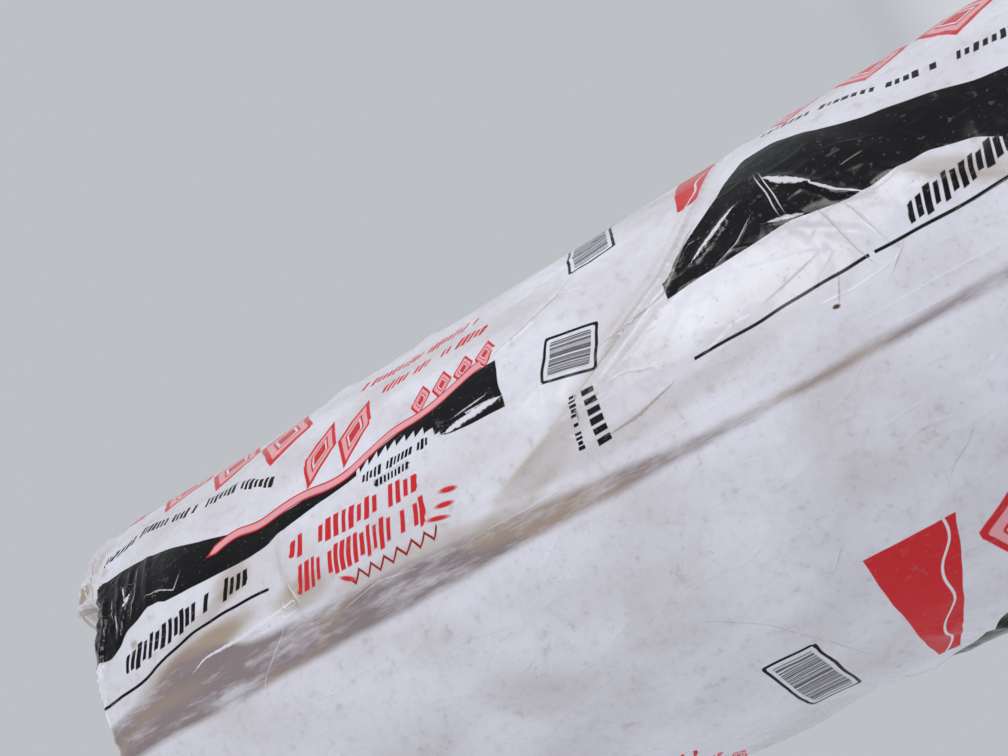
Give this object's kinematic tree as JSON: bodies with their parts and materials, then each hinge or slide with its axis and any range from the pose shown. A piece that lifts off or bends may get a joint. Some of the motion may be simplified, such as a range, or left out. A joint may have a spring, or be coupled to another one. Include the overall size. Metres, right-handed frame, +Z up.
{
  "type": "insulation roll",
  "caption": "Long roll of faced glass-wool blanket with a hollow centre, in a thin printed film wrapper turned in over both ends.",
  "frame": {"origin": "on the floor, on the roll's axis, under its plain end", "axes": "+Z up along the roll, from the plain end to the end with the loose cuff; -Y towards the side with the print that the picture shows"},
  "size_m": [0.5385, 0.5386, 1.2693],
  "materials": {
    "glass_wool": "matte fibre",
    "printed_film": "thin printed film, soft gloss"
  },
  "bodies": {
    "root": {"wool_roll": "glass_wool", "film_wrap": "printed_film"}
  },
  "joints": []
}
